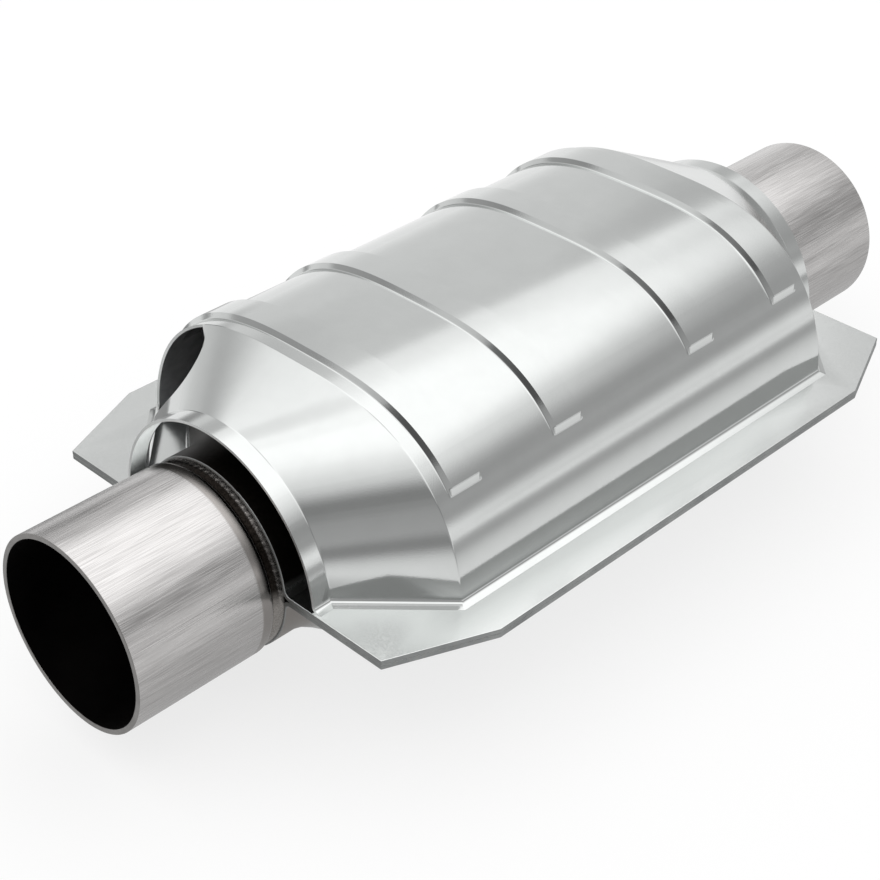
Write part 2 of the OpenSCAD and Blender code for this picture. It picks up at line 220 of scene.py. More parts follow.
def shield_mesh():
    """The shield's outside as one sheet of quads. Its thickness comes from Solidify."""
    columns, kerb, top = shield_columns()
    base_rise = float(
        arch(CROWN_A, CROWN_B, CROWN_SQUARE, columns[0][1])[0]
        - arch(COLLAR_R, COLLAR_R, 2, columns[0][0])[0]
    )
    lead = math.tan(math.atan2(base_rise, COLLAR_X - CROWN_HALF) / 2)
    foot = [(out, FOOT_Z + up) for out, up in FOOT_PROFILE]
    half = len(foot) + len(columns)
    across = 2 * half - 1
    points = []

    def slide(x, out):
        """Where a station of the foot lies along X, so that the foot's corners are mitred."""
        far = abs(x)
        inside = min(max((far - CROWN_HALF + MITRE_START) / MITRE_RUN, 0.0), 1.0)
        outside = min(max((RIM_X - far) / (RIM_X - COLLAR_X - MITRE_STOP), 0.0), 1.0)
        return x + math.copysign(lead * out * min(inside, outside), x)

    def row(place, reach_of, first=0, last=across):
        """One row of vertices across the shield. reach_of gives each column's share of the cone."""
        made = []
        for c in range(first, last):
            side = 1 if c < half else -1
            column = (c if c < half else across - 1 - c) - len(foot)
            x, swing = place, 0.0
            if side > 0 and -COLLAR_X < place < -CROWN_HALF + 1e-6:
                x = -COLLAR_X + (place + COLLAR_X) * reach_of(column)
                if column >= 0:
                    swing = vent_bulge(columns[column][1], x)
            if column < 0:
                out, z = foot[column + len(foot)]
                y = float(wall_point(x, *columns[0])[0]) + out
                x = slide(x, out)
            else:
                angles = (t + swing for t in columns[column])
                y, z = (float(v) for v in wall_point(x, *angles))
                z = WALL_Z if column == 0 else z
            made.append(len(points))
            points.append((x * MM, side * y * MM, AXIS_Z + z * MM))
        return made

    def reach_of(column):
        if column >= top:
            return 1.0
        return VENT_STRIP if column <= kerb else vent_reach(columns[column][1])

    edges = [-CROWN_HALF, CROWN_HALF, COLLAR_X, RIM_X]
    for place in RIB_PLACES:
        start, stop = place - RIB_WIDTH / 2, place + RIB_WIDTH / 2
        edges += [start, start + RIB_SLOPE, stop - RIB_SLOPE, stop]
    cone_front = stations([-RIM_X, -COLLAR_X, -CROWN_HALF], CREASE, 2.0)
    kerb_front = np.linspace(-COLLAR_X + VENT_STRIP * (COLLAR_X - CROWN_HALF), -CROWN_HALF, 9)
    strips = [
        [row(x, reach_of) for x in cone_front],
        [row(x, lambda column: 1.0) for x in stations(edges, CREASE, 5.0)],
        [row(x, lambda column: 1.0, 0, len(foot) + kerb + 1) for x in kerb_front],
    ]
    faces = []
    for rows in strips:
        for back, front in zip(rows, rows[1:]):
            for c in range(len(back) - 1):
                faces.append((back[c], back[c + 1], front[c + 1], front[c]))
    mesh = bpy.data.meshes.new("heat_shield_sheet")
    mesh.from_pydata(points, [], faces)
    work = bmesh.new()
    work.from_mesh(mesh)
    bmesh.ops.remove_doubles(work, verts=work.verts, dist=0.02 * MM)
    bmesh.ops.dissolve_degenerate(work, edges=work.edges, dist=0.01 * MM)
    work.to_mesh(mesh)
    work.free()
    return mesh


def new_piece(name, mesh, *materials):
    """An object of that mesh, with its materials, in the scene."""
    piece = bpy.data.objects.new(name, mesh)
    scene.collection.objects.link(piece)
    for material in materials:
        piece.data.materials.append(material)
    return piece


def smooth_below(mesh, degrees):
    """Shades a mesh smooth, except where it turns by more than an angle."""
    mesh.shade_smooth()
    mesh.set_sharp_from_angle(angle=math.radians(degrees))


def bake_modifiers(piece):
    """Turns a piece's modifiers into plain mesh."""
    graph = bpy.context.evaluated_depsgraph_get()
    done = bpy.data.meshes.new_from_object(piece.evaluated_get(graph))
    piece.modifiers.clear()
    piece.data = done
    return piece


def linear(code):
    """An sRGB hex colour as the linear RGBA that shaders take."""
    parts = [int(code[k:k + 2], 16) / 255 for k in (1, 3, 5)]
    return [c / 12.92 if c <= 0.04045 else ((c + 0.055) / 1.055) ** 2.4 for c in parts] + [1.0]


def add_node(tree, kind, links=(), **settings):
    """Adds a node. settings are its inputs or properties, and links are (input, socket) pairs."""
    node = tree.nodes.new(kind)
    for name, value in settings.items():
        if hasattr(node, name):
            setattr(node, name, value)
        else:
            node.inputs[name.replace("_", " ")].default_value = value
    for name, socket in links:
        tree.links.new(socket, node.inputs[name])
    return node


def new_material(name):
    """A node material, with its node tree and its Principled shader."""
    material = bpy.data.materials.new(name)
    material.use_nodes = True
    tree = material.node_tree
    shader = tree.nodes["Principled BSDF"]
    return material, tree, shader


def grain_of(tree, place, size_mm, detail=2.0):
    """A random grain, from 0 to 1, with features of about size_mm."""
    return add_node(tree, "ShaderNodeTexNoise", [("Vector", place)],
                    Scale=1 / (size_mm * MM), Detail=detail, Roughness=0.6).outputs["Fac"]


def scaled(tree, value, start, stop, low=0.3, high=0.7):
    """Maps a grain from its usual range to start..stop."""
    return add_node(tree, "ShaderNodeMapRange", [("Value", value)], From_Min=low, From_Max=high,
                    To_Min=start, To_Max=stop).outputs["Result"]


def blend(tree, share, low, high):
    """A colour between two hex colours or sockets."""
    node = add_node(tree, "ShaderNodeMix", [(0, share)], data_type="RGBA")
    for index, color in ((6, low), (7, high)):
        if isinstance(color, str):
            node.inputs[index].default_value = linear(color)
        else:
            tree.links.new(color, node.inputs[index])
    return node.outputs[2]


def raised(tree, shader, value, depth_mm):
    """Gives the surface a bump depth_mm deep from a value of 0 to 1."""
    bump = add_node(tree, "ShaderNodeBump", [("Height", value)], Distance=depth_mm * MM)
    tree.links.new(bump.outputs["Normal"], shader.inputs["Normal"])


def sheet_metal(name, colors, gloss, grain_mm, depth_mm):
    """Sheet metal with an even grain: two close colours, a range of gloss and a slight bump."""
    material, tree, shader = new_material(name)
    shader.inputs["Metallic"].default_value = 1.0
    place = add_node(tree, "ShaderNodeTexCoord").outputs["Object"]
    grain = grain_of(tree, place, grain_mm)
    cloud = grain_of(tree, place, grain_mm * 20, 3.0)
    tree.links.new(blend(tree, scaled(tree, cloud, 0.0, 1.0), *colors), shader.inputs["Base Color"])
    tree.links.new(scaled(tree, grain, *gloss), shader.inputs["Roughness"])
    raised(tree, shader, grain, depth_mm)
    return material


# Bright hot-dip coat: near a mirror, with the fine salt-like grain of the coating.
aluminised_steel = sheet_metal("aluminised_steel", ("#cdcfce", "#d0d2d1"), (0.06, 0.12), 0.4, 0.007)
# The same coat inside the cones and the crown: baked to a dull grey, less metallic and rougher, and
# darker as painted shade inside the shield.
baked_and_shaded_inside = sheet_metal("baked_coat_inside_painted_shade", ("#8d8e91", "#b4b5b7"), (0.35, 0.6), 0.5, 0.06)
baked_and_shaded_inside.node_tree.nodes["Principled BSDF"].inputs["Metallic"].default_value = 0.45
# Where the sheet was sheared: bright raw steel with fine tear marks.
sheared_edge = sheet_metal("sheared_sheet_edge", ("#d8dad9", "#e6e7e6"), (0.25, 0.45), 0.4, 0.01)

heat_shield = new_piece("heat_shield_pressing", shield_mesh(), aluminised_steel, baked_and_shaded_inside,
                        sheared_edge)
sheet = heat_shield.modifiers.new("sheet", "SOLIDIFY")
sheet.thickness = SHEET * MM
sheet.offset = -1.0
sheet.use_even_offset = True
# The sheet's inside takes the second material and its sheared edge the third.
sheet.material_offset = 1
sheet.material_offset_rim = 2
smooth_below(bake_modifiers(heat_shield).data, SHARP_TURN)
for vertex in heat_shield.data.vertices:
    vertex.co.z = max(vertex.co.z, shield_low.z)
# The collars, which stand clear of the hot body, are as bright inside as outside, with no painted
# shade.
for face in heat_shield.data.polygons:
    if face.material_index == 1 and abs(face.center.x) > COLLAR_X * MM:
        face.material_index = 0
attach(heat_shield, "root")
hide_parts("heat_shield")


# Half shells
# Two pressed halves of stainless sheet, welded flange to flange. Each has two necks, two cones,
# an oval body and a waist that parts the bricks. Painted shade darkens the outside above the
# flange.
EDGE_BREAK = 0.3

upper_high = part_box("upper_shell")[1]
FLANGE_X = upper_high.x / MM
FLANGE_Y = upper_high.y / MM
CORNER_X = 31.8
CORNER_Y = 13.4
# Heights above the axis where the painted shade above the flange starts and is full.
PAINTED_SHADE_FROM = 2.0
PAINTED_SHADE_FULL = 6.0
TINT_FROM = 90.0
TINT_FULL = 104.0
TINT_UNDER = (-1.7, -3.0)
TINT_DULLNESS = 0.14
PAINTED_SHADE_GLOSS = 0.42


def smooth_copy(node):
    """A copy of a CAD node's mesh with its triangles joined, as a mesh of its own."""
    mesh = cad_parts[node].data.copy()
    mesh.materials.clear()
    work = bmesh.new()
    work.from_mesh(mesh)
    bmesh.ops.remove_doubles(work, verts=work.verts, dist=0.005 * MM)
    bmesh.ops.dissolve_limit(work, angle_limit=math.radians(0.2), verts=work.verts,
                             edges=work.edges)
    work.to_mesh(mesh)
    work.free()
    return mesh


def break_edges(piece, width, smooth_angle):
    """Breaks a piece's sharp edges by a small rounded bevel, then makes it plain mesh."""
    bevel = piece.modifiers.new("edges", "BEVEL")
    bevel.width = width * MM
    bevel.segments = 3
    bevel.limit_method = "ANGLE"
    bevel.angle_limit = math.radians(60)
    bevel.harden_normals = True
    smooth_below(piece.data, smooth_angle)
    return bake_modifiers(piece)


def from_flange_edge(x, y):
    """How far a point lies inside the flange's outline, with its cut corners."""
    over_x = abs(x) - (FLANGE_X - CORNER_X)
    over_y = abs(y) - (FLANGE_Y - CORNER_Y)
    corner = (1 - over_x / CORNER_X - over_y / CORNER_Y)
    corner *= CORNER_X * CORNER_Y / math.hypot(CORNER_X, CORNER_Y)
    return min(FLANGE_X - abs(x), FLANGE_Y - abs(y), corner)


def stainless_with_painted_shade(name):
    """Bright stainless that turns to a dark brown above the flange, as painted shade under the
    shield, and to a dull warm grey on the lower necks, where the weld's heat tinted it."""
    material, tree, shader = new_material(name)
    shader.inputs["Metallic"].default_value = 1.0
    place = add_node(tree, "ShaderNodeTexCoord").outputs["Object"]
    grain = grain_of(tree, place, 0.6)
    specks = grain_of(tree, place, 1.3, 4.0)
    spot = add_node(tree, "ShaderNodeSeparateXYZ", [("Vector", place)]).outputs
    level = spot["Z"]
    shade_above_flange = add_node(tree, "ShaderNodeMapRange", [("Value", level)],
                     interpolation_type="SMOOTHSTEP",
                     From_Min=AXIS_Z + PAINTED_SHADE_FROM * MM,
                     From_Max=AXIS_Z + PAINTED_SHADE_FULL * MM).outputs["Result"]
    far = add_node(tree, "ShaderNodeMath", [(0, spot["X"])], operation="ABSOLUTE").outputs[0]
    neck = add_node(tree, "ShaderNodeMapRange", [("Value", far)],
                    interpolation_type="SMOOTHSTEP",
                    From_Min=TINT_FROM * MM, From_Max=TINT_FULL * MM).outputs["Result"]
    under = add_node(tree, "ShaderNodeMapRange", [("Value", level)],
                     From_Min=AXIS_Z + TINT_UNDER[0] * MM,
                     From_Max=AXIS_Z + TINT_UNDER[1] * MM).outputs["Result"]
    tinted = add_node(tree, "ShaderNodeMath", [(0, neck), (1, under)],
                      operation="MULTIPLY").outputs[0]
    # Painted shade: the specked dark brown above the flange.
    painted_shade = blend(tree, scaled(tree, specks, 0.0, 1.0, 0.3, 0.8), "#221f1c", "#322d29")
    bare = blend(tree, tinted, "#dcdedd", "#98938f")
    tree.links.new(blend(tree, shade_above_flange, bare, painted_shade), shader.inputs["Base Color"])
    bright_gloss = add_node(tree, "ShaderNodeMath",
                            [(0, tinted), (2, scaled(tree, grain, 0.17, 0.25))],
                            operation="MULTIPLY_ADD")
    bright_gloss.inputs[1].default_value = TINT_DULLNESS
    gloss = add_node(tree, "ShaderNodeMix", [(0, shade_above_flange), (2, bright_gloss.outputs[0])])
    gloss.inputs[3].default_value = PAINTED_SHADE_GLOSS
    tree.links.new(gloss.outputs[0], shader.inputs["Roughness"])
    raised(tree, shader, grain, 0.008)
    return material


half_shell_steel = stainless_with_painted_shade("pressed_stainless")
# The blanked edge of the flange: duller than its face, torn across the sheet, and darker as painted
# shade.
shaded_flange_edge = sheet_metal("blanked_flange_edge", ("#8e9090", "#a4a6a5"), (0.35, 0.55), 0.5, 0.03)

for node in ("upper_shell", "lower_shell"):
    shell = new_piece(node + "_pressing", smooth_copy(node), half_shell_steel, shaded_flange_edge)
    break_edges(shell, EDGE_BREAK, 35)
    for face in shell.data.polygons:
        x, y = face.center.x / MM, face.center.y / MM
        if from_flange_edge(x, y) < 1.2 * EDGE_BREAK and abs(face.normal.z) < 0.9:
            face.material_index = 1
    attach(shell, "root")
    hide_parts(node)


# Pipe ends
# Two lengths of stainless tube, brushed along their length, sawn off square at the mouth and
# drawn in at the other end so that they slip into the necks.
BRUSH_LENGTH = 14.0
BRUSH_WIDTH = 0.24
WIDE_SHARE = 0.35
BRUSHED_FROM = 122.4
BAND_GLOSS = 0.2
BORE_R = 28.75
END_MARGIN = 0.3


def brushed_tube(name):
    """Long fine scratches along X, which stop short of the plain band beside the weld."""
    material, tree, shader = new_material(name)
    shader.inputs["Metallic"].default_value = 1.0
    place = add_node(tree, "ShaderNodeTexCoord").outputs["Object"]
    along = add_node(tree, "ShaderNodeMapping", [("Vector", place)],
                     Scale=(BRUSH_WIDTH / BRUSH_LENGTH, 1.0, 1.0)).outputs["Vector"]
    fine = grain_of(tree, along, BRUSH_WIDTH, 1.0)
    wide = grain_of(tree, along, BRUSH_WIDTH * 5, 3.0)
    both = add_node(tree, "ShaderNodeMath", [(0, wide), (2, fine)], operation="MULTIPLY_ADD")
    both.inputs[1].default_value = WIDE_SHARE
    both = both.outputs[0]
    station = add_node(tree, "ShaderNodeSeparateXYZ", [("Vector", place)]).outputs["X"]
    far = add_node(tree, "ShaderNodeMath", [(0, station)], operation="ABSOLUTE").outputs[0]
    brushed = add_node(tree, "ShaderNodeMapRange", [("Value", far)],
                       interpolation_type="SMOOTHSTEP",
                       From_Min=(BRUSHED_FROM - 0.3) * MM, From_Max=(BRUSHED_FROM + 0.5) * MM)
    brushed = brushed.outputs["Result"]
    marks = add_node(tree, "ShaderNodeMath", [(0, both), (1, brushed)], operation="MULTIPLY")
    tone = blend(tree, scaled(tree, both, 0.0, 1.0, 0.45, 0.9), "#b3b1b0", "#d8d6d5")
    tone = blend(tree, brushed, "#9f9b98", tone)
    tree.links.new(tone, shader.inputs["Base Color"])
    scratched = scaled(tree, both, 0.17, 0.3, 0.45, 0.9)
    gloss = add_node(tree, "ShaderNodeMix", [(0, brushed), (3, scratched)])
    gloss.inputs[2].default_value = BAND_GLOSS
    tree.links.new(gloss.outputs[0], shader.inputs["Roughness"])
    shader.inputs["Anisotropic"].default_value = 0.6
    around = add_node(tree, "ShaderNodeTangent", direction_type="RADIAL", axis="X")
    tree.links.new(around.outputs[0], shader.inputs["Tangent"])
    raised(tree, shader, marks.outputs[0], 0.016)
    return material


tube_outside = brushed_tube("brushed_stainless_tube")
# The bore: near black, a painted shade inside the tube.
shaded_tube_bore = sheet_metal("dark_tube_bore", ("#0b0a0a", "#1d1b1a"), (0.55, 0.75), 1.5, 0.02)
# The sawn end, with its burr taken off.
sawn_end = sheet_metal("sawn_tube_end", ("#908e8c", "#a3a19f"), (0.3, 0.5), 0.3, 0.015)

for node in ("inlet_pipe", "outlet_pipe"):
    tube = new_piece(node + "_tube", smooth_copy(node), tube_outside, shaded_tube_bore, sawn_end)
    break_edges(tube, 0.2, 30)
    mouth = max(abs(v.co.x) for v in tube.data.vertices)
    for face in tube.data.polygons:
        reach = math.hypot(face.center.y, face.center.z - AXIS_Z)
        inward = face.normal.y * face.center.y + face.normal.z * (face.center.z - AXIS_Z)
        if abs(face.center.x) > mouth - END_MARGIN * MM:
            face.material_index = 2
        elif inward < 0 and reach < (BORE_R + END_MARGIN) * MM:
            face.material_index = 1
    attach(tube, "root")
    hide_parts(node)


# Welds
# A bead run round each pipe in the groove between its shoulder and the neck. It is steel laid in
# overlapping arcs, with painted shade on its upper half and a painted highlight along its crest.
BEAD_ARCS = 84
ARC_STEPS = 8
ARC_LAG = 0.9
BEAD_STEPS = 10
BEAD_HEIGHT = 1.15
BEAD_RIPPLE = 0.16
CREST_END = 116.9
CREST_FULL = 116.0
HIGHLIGHT_RAGGEDNESS = 1.3
BEAD_SHADE_FROM = -3.0
BEAD_SHADE_FULL = 5.0


def bead_mesh(node):
    """The bead's skin: the CAD fillet, with a scale-like ripple along its run."""
    low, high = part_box(node)
    way = 1 if low.x > 0 else -1
    start, stop = abs(low.x) if way > 0 else abs(high.x), abs(high.x) if way > 0 else abs(low.x)
    outer = (high.z - low.z) / 2
    rounds = BEAD_ARCS * ARC_STEPS
    root = outer - BEAD_HEIGHT * MM
    points, faces = [], []
    for k in range(rounds):
        turn = 2 * math.pi * k / rounds
        for j in range(BEAD_STEPS + 1):
            t = math.pi / 2 * j / BEAD_STEPS
            belly = math.sin(math.pi * j / BEAD_STEPS)
            beat = (k / ARC_STEPS + ARC_LAG * belly) % 1.0
            ripple = BEAD_RIPPLE * MM * (beat ** 0.6 - 1) * belly
            radius = root + BEAD_HEIGHT * MM * math.sin(t) + ripple
            x = way * (stop - (stop - start) * (1 - math.cos(t)))
            points.append((x, radius * math.cos(turn), AXIS_Z + radius * math.sin(turn)))
        points.append((way * start, root * math.cos(turn), AXIS_Z + root * math.sin(turn)))
    size = BEAD_STEPS + 2
    for k in range(rounds):
        for j in range(size):
            a, b = k * size + j, k * size + (j + 1) % size
            c, d = (k + 1) % rounds * size + (j + 1) % size, (k + 1) % rounds * size + j
            faces.append((a, b, c, d) if way > 0 else (a, d, c, b))
    mesh = bpy.data.meshes.new(node + "_skin")
    mesh.from_pydata(points, [], faces)
    smooth_below(mesh, 50)
    return mesh


def bead_with_painted_shade_and_highlight(name):
    """Near black on its upper half, as painted shade from the shield, with a painted highlight
    along its crest beside the neck, and light grey below the flange."""
    material, tree, shader = new_material(name)
    shader.inputs["Metallic"].default_value = 1.0
    place = add_node(tree, "ShaderNodeTexCoord").outputs["Object"]
    grain = grain_of(tree, place, 0.5)
    spot = add_node(tree, "ShaderNodeSeparateXYZ", [("Vector", place)]).outputs
    # Painted shade from the shield on the bead's upper half.
    painted_shade = add_node(tree, "ShaderNodeMapRange", [("Value", spot["Z"])],
                     interpolation_type="SMOOTHSTEP",
                     From_Min=AXIS_Z + BEAD_SHADE_FROM * MM,
                     From_Max=AXIS_Z + BEAD_SHADE_FULL * MM).outputs["Result"]
    far = add_node(tree, "ShaderNodeMath", [(0, spot["X"])], operation="ABSOLUTE").outputs[0]
    # Painted highlight: a bright band along the crest, its edge ragged with the grain.
    ragged_reach = add_node(tree, "ShaderNodeMath", [(0, grain), (2, far)], operation="MULTIPLY_ADD")
    ragged_reach.inputs[1].default_value = HIGHLIGHT_RAGGEDNESS * MM
    painted_crest_highlight = add_node(tree, "ShaderNodeMapRange", [("Value", ragged_reach.outputs[0])],
                     interpolation_type="SMOOTHSTEP", From_Min=CREST_END * MM,
                     From_Max=CREST_FULL * MM).outputs["Result"]
    dark = blend(tree, scaled(tree, grain, 0.0, 1.0), "#100e0c", "#26221f")
    dark = blend(tree, painted_crest_highlight, dark, "#9a9693")
    bare = blend(tree, scaled(tree, grain, 0.0, 1.0), "#8b8783", "#a5a19d")
    tree.links.new(blend(tree, painted_shade, bare, dark), shader.inputs["Base Color"])
    tree.links.new(scaled(tree, grain, 0.2, 0.34), shader.inputs["Roughness"])
    raised(tree, shader, grain, 0.02)
    return material


bead_metal = bead_with_painted_shade_and_highlight("bead_with_painted_shade_and_highlight")
for node in ("inlet_weld", "outlet_weld"):
    bead = new_piece(node + "_bead", bead_mesh(node), bead_metal)
    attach(bead, "root")
    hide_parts(node)


# Catalyst bricks
# Each is one block of extruded ceramic with thin walls that cross at 1.27 mm, inside a thin skin.
# The walls are washed with the pale brown catalyst coat.
CELL_PITCH = 1.27
CELL_WALL = 0.17
BRICK_SKIN = 0.6
SKIN_SIDES = 160
OVAL_POWER = 2.7
OVAL_FLAT = 22.0
# Twice a wall's reach from the middle, less a little, so that no wall comes through the skin.
WALL_SPAN = 1.99


def linked(tree, kind, *values, **settings):
    """Adds a node whose first inputs take these values or sockets in turn, and gives its output."""
    node = add_node(tree, kind, **settings)
    for socket, value in zip([s for s in node.inputs if s.enabled], values):
        if isinstance(value, bpy.types.NodeSocket):
            tree.links.new(value, socket)
        else:
            socket.default_value = value
    return [s for s in node.outputs if s.enabled][0]


def brick_tree():
    """Geometry Nodes for one brick: crossing walls, each cut to the oval, and the skin."""
    tree = bpy.data.node_groups.new("extruded_brick", "GeometryNodeTree")
    tree.interface.new_socket("Geometry", in_out="OUTPUT", socket_type="NodeSocketGeometry")
    for name in ("Length", "Width", "Height", "Pitch", "Wall", "Skin", "Stretch"):
        tree.interface.new_socket(name, in_out="INPUT", socket_type="NodeSocketFloat")
    tree.interface.new_socket("Centre", in_out="INPUT", socket_type="NodeSocketVector")
    tree.interface.new_socket("Ceramic", in_out="INPUT", socket_type="NodeSocketMaterial")
    given = tree.nodes.new("NodeGroupInput").outputs
    done = tree.nodes.new("NodeGroupOutput")

    def math_of(operation, *values):
        return linked(tree, "ShaderNodeMath", *values, operation=operation)

    def vector(x, y, z):
        return linked(tree, "ShaderNodeCombineXYZ", x, y, z)

    half_width = math_of("DIVIDE", given["Width"], 2.0)
    half_height = math_of("DIVIDE", given["Height"], 2.0)
    top = math_of("MULTIPLY", half_height, given["Stretch"])
    walls = []
    for upright in (True, False):
        half = half_width if upright else half_height
        rows = math_of("FLOOR", math_of("DIVIDE", half, given["Pitch"]))
        count = math_of("MULTIPLY_ADD", rows, 2.0, 1.0)
        first = math_of("MULTIPLY", rows, math_of("MULTIPLY", given["Pitch"], -1.0))
        line = tree.nodes.new("GeometryNodeMeshLine")
        tree.links.new(count, line.inputs["Count"])
        tree.links.new(vector(0.0, first, 0.0) if upright else vector(0.0, 0.0, first),
                       line.inputs["Start Location"])
        step = vector(0.0, given["Pitch"], 0.0) if upright else vector(0.0, 0.0, given["Pitch"])
        tree.links.new(step, line.inputs["Offset"])
        position = tree.nodes.new("GeometryNodeInputPosition").outputs[0]
        parts = linked(tree, "ShaderNodeSeparateXYZ", position).node.outputs
        if upright:
            level = math_of("DIVIDE", math_of("ABSOLUTE", parts["Y"]), half_width)
            level = math_of("POWER", level, OVAL_POWER)
            rise = math_of("SQRT", math_of("MAXIMUM", math_of("SUBTRACT", 1.0, level), 0.0))
            reach = math_of("MINIMUM", math_of("MULTIPLY", top, rise), half_height)
        else:
            level = math_of("DIVIDE", math_of("ABSOLUTE", parts["Z"]), top)
            level = math_of("MAXIMUM", math_of("SUBTRACT", 1.0, math_of("POWER", level, 2.0)), 0.0)
            reach = math_of("MULTIPLY", half_width, math_of("POWER", level, 1 / OVAL_POWER))
        span = math_of("MULTIPLY", reach, WALL_SPAN)
        cube = tree.nodes.new("GeometryNodeMeshCube")
        size = vector(given["Length"], given["Wall"], 1.0)
        if not upright:
            size = vector(given["Length"], 1.0, given["Wall"])
        tree.links.new(size, cube.inputs["Size"])
        spread = tree.nodes.new("GeometryNodeInstanceOnPoints")
        tree.links.new(line.outputs[0], spread.inputs["Points"])
        tree.links.new(cube.outputs["Mesh"], spread.inputs["Instance"])
        tree.links.new(vector(1.0, 1.0, span) if upright else vector(1.0, span, 1.0),
                       spread.inputs["Scale"])
        walls.append(spread.outputs[0])

    tube = tree.nodes.new("GeometryNodeMeshCylinder")
    tube.fill_type = "NONE"
    tube.inputs["Vertices"].default_value = SKIN_SIDES
    tube.inputs["Radius"].default_value = 1.0
    tree.links.new(given["Length"], tube.inputs["Depth"])
    position = tree.nodes.new("GeometryNodeInputPosition").outputs[0]
    spot = linked(tree, "ShaderNodeSeparateXYZ", position).node.outputs
    narrow = math_of("POWER", math_of("ABSOLUTE", spot["X"]), 2 / OVAL_POWER)
    across = math_of("MULTIPLY", narrow, math_of("SIGN", spot["X"]))
    across = math_of("MULTIPLY", across, half_width)
    lift = math_of("MINIMUM", math_of("MULTIPLY", top, math_of("ABSOLUTE", spot["Y"])), half_height)
    lift = math_of("MULTIPLY", lift, math_of("SIGN", spot["Y"]))
    oval = tree.nodes.new("GeometryNodeSetPosition")
    tree.links.new(tube.outputs["Mesh"], oval.inputs["Geometry"])
    tree.links.new(vector(spot["Z"], across, lift), oval.inputs["Position"])
    skin = tree.nodes.new("GeometryNodeExtrudeMesh")
    tree.links.new(oval.outputs[0], skin.inputs["Mesh"])
    skin.inputs["Individual"].default_value = False
    inward = math_of("MULTIPLY", given["Skin"], -1.0)
    tree.links.new(inward, skin.inputs["Offset Scale"])

    join = tree.nodes.new("GeometryNodeJoinGeometry")
    for part in walls + [skin.outputs["Mesh"], oval.outputs[0]]:
        tree.links.new(part, join.inputs[0])
    move = tree.nodes.new("GeometryNodeTransform")
    tree.links.new(join.outputs[0], move.inputs["Geometry"])
    tree.links.new(given["Centre"], move.inputs["Translation"])
    real = tree.nodes.new("GeometryNodeRealizeInstances")
    tree.links.new(move.outputs[0], real.inputs[0])
    coat = tree.nodes.new("GeometryNodeSetMaterial")
    tree.links.new(real.outputs[0], coat.inputs["Geometry"])
    tree.links.new(given["Ceramic"], coat.inputs["Material"])
    tree.links.new(coat.outputs[0], done.inputs[0])
    return tree


def grow(name, tree, values):
    """A plain mesh piece from a Geometry Nodes tree with these input values."""
    piece = new_piece(name, bpy.data.meshes.new(name))
    maker = piece.modifiers.new("maker", "NODES")
    maker.node_group = tree
    for item in tree.interface.items_tree:
        if item.in_out == "INPUT" and item.name in values:
            maker[item.identifier] = values[item.name]
    return bake_modifiers(piece)


def fired_ceramic(name):
    """Dry matt ceramic with a washed-on coat: pale brown, darker in patches."""
    material, tree, shader = new_material(name)
    place = add_node(tree, "ShaderNodeTexCoord").outputs["Object"]
    cloud = grain_of(tree, place, 7.0, 3.0)
    pores = grain_of(tree, place, 0.25, 2.0)
    tone = blend(tree, scaled(tree, cloud, 0.0, 1.0), "#8d7a5e", "#b8a88a")
    tree.links.new(tone, shader.inputs["Base Color"])
    shader.inputs["Roughness"].default_value = 0.9
    raised(tree, shader, pores, 0.03)
    return material


ceramic = fired_ceramic("washcoated_cordierite")
brick_maker = brick_tree()
for node in ("front_brick", "rear_brick"):
    low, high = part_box(node)
    size = high - low
    flat = (OVAL_FLAT * MM / size.y) ** (OVAL_POWER / 2)
    brick = grow(node + "_extruded", brick_maker, {
        "Length": size.x,
        "Width": size.y,
        "Height": size.z,
        "Pitch": CELL_PITCH * MM,
        "Wall": CELL_WALL * MM,
        "Skin": BRICK_SKIN * MM,
        "Stretch": 1 / math.sin(math.acos(flat)),
        "Centre": (low + high) / 2,
        "Ceramic": ceramic,
    })
    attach(brick, "root")
    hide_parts(node)


# Mats
# A blanket of ceramic fibre with swelling flakes, wrapped once round each brick.
def fibre_blanket(name):
    """Off-white needled fibre with grey-brown mica flakes."""
    material, tree, shader = new_material(name)
    place = add_node(tree, "ShaderNodeTexCoord").outputs["Object"]
    squashed = add_node(tree, "ShaderNodeMapping", [("Vector", place)],
                        Scale=(0.25, 1.0, 1.0)).outputs["Vector"]
    fibre = grain_of(tree, squashed, 0.5, 4.0)
    flakes = add_node(tree, "ShaderNodeTexVoronoi", [("Vector", place)],
                      Scale=1 / (2.5 * MM)).outputs["Distance"]
    tone = blend(tree, scaled(tree, fibre, 0.0, 1.0), "#c9c3b4", "#e3dfd4")
    tone = blend(tree, scaled(tree, flakes, 1.0, 0.0, 0.12, 0.2), tone, "#8a7550")
    tree.links.new(tone, shader.inputs["Base Color"])
    shader.inputs["Roughness"].default_value = 0.95
    shader.inputs["Sheen Weight"].default_value = 0.2
    raised(tree, shader, fibre, 0.2)
    return material


blanket = fibre_blanket("swelling_fibre_mat")
for node in ("front_mat", "rear_mat"):
    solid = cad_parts[node]
    solid.data.materials.clear()
    solid.data.materials.append(blanket)


# Wire seals
# A ring of knitted stainless wire, pressed against each end of the mats.
def knitted_wire(name):
    """Rows of small round loops, with painted shade in the gaps between the wires."""
    material, tree, shader = new_material(name)
    shader.inputs["Metallic"].default_value = 1.0
    place = add_node(tree, "ShaderNodeTexCoord").outputs["Object"]
    loops = add_node(tree, "ShaderNodeTexVoronoi", [("Vector", place)],
                     feature="DISTANCE_TO_EDGE", Scale=1 / (1.4 * MM)).outputs["Distance"]
    wire = scaled(tree, loops, 1.0, 0.0, 0.05, 0.28)
    tree.links.new(blend(tree, wire, "#2c2a29", "#b4b1ae"), shader.inputs["Base Color"])
    shader.inputs["Roughness"].default_value = 0.35
    raised(tree, shader, wire, 0.35)
    return material


